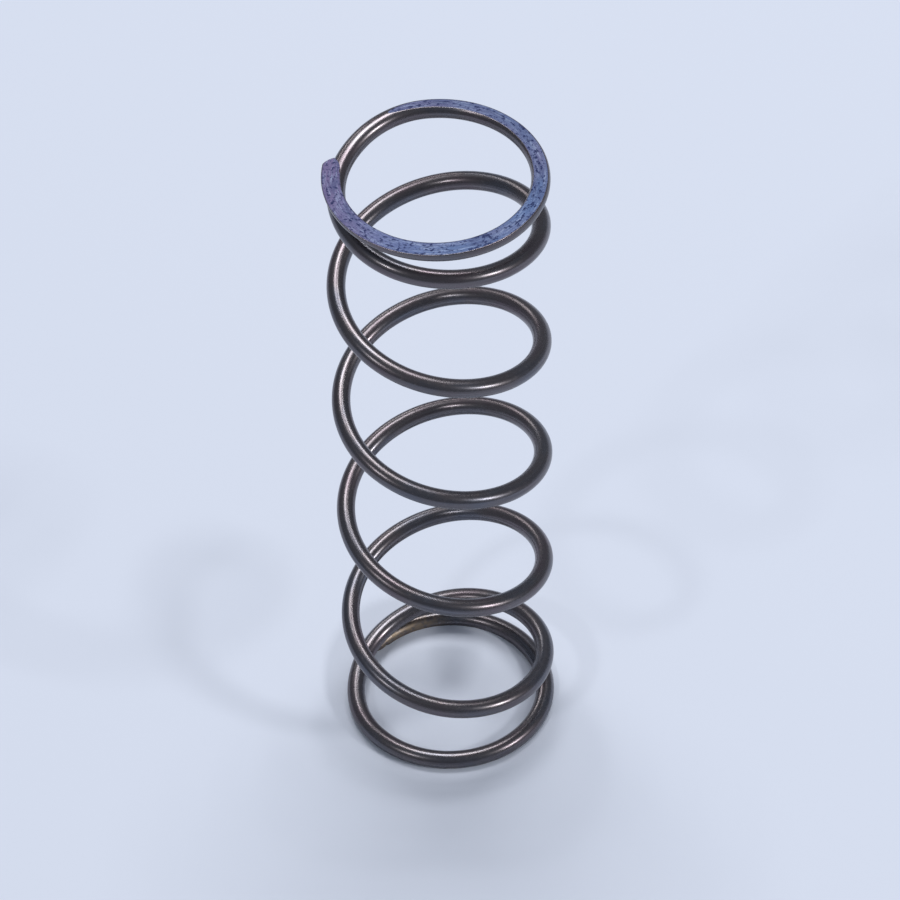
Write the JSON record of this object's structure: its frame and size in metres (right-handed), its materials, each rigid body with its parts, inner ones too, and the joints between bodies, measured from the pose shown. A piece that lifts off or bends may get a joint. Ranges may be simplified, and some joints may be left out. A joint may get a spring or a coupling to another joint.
{
  "type": "compression spring",
  "caption": "Small cylindrical compression spring of round steel wire, left-hand wound, with closed and ground ends.",
  "frame": {"origin": "on the coil axis, in the plane of the lower ground face", "axes": "+Z along the coil axis from the lower ground face to the upper one; -Y is the side seen with the upper wire tip on the left"},
  "size_m": [0.0237, 0.0236, 0.081],
  "materials": {
    "spring_steel": "dark oil-tempered steel wire with a satin skin, and bare ground faces with a blue-violet temper tint"
  },
  "bodies": {
    "root": {"spring_wire": "spring_steel"}
  },
  "joints": []
}
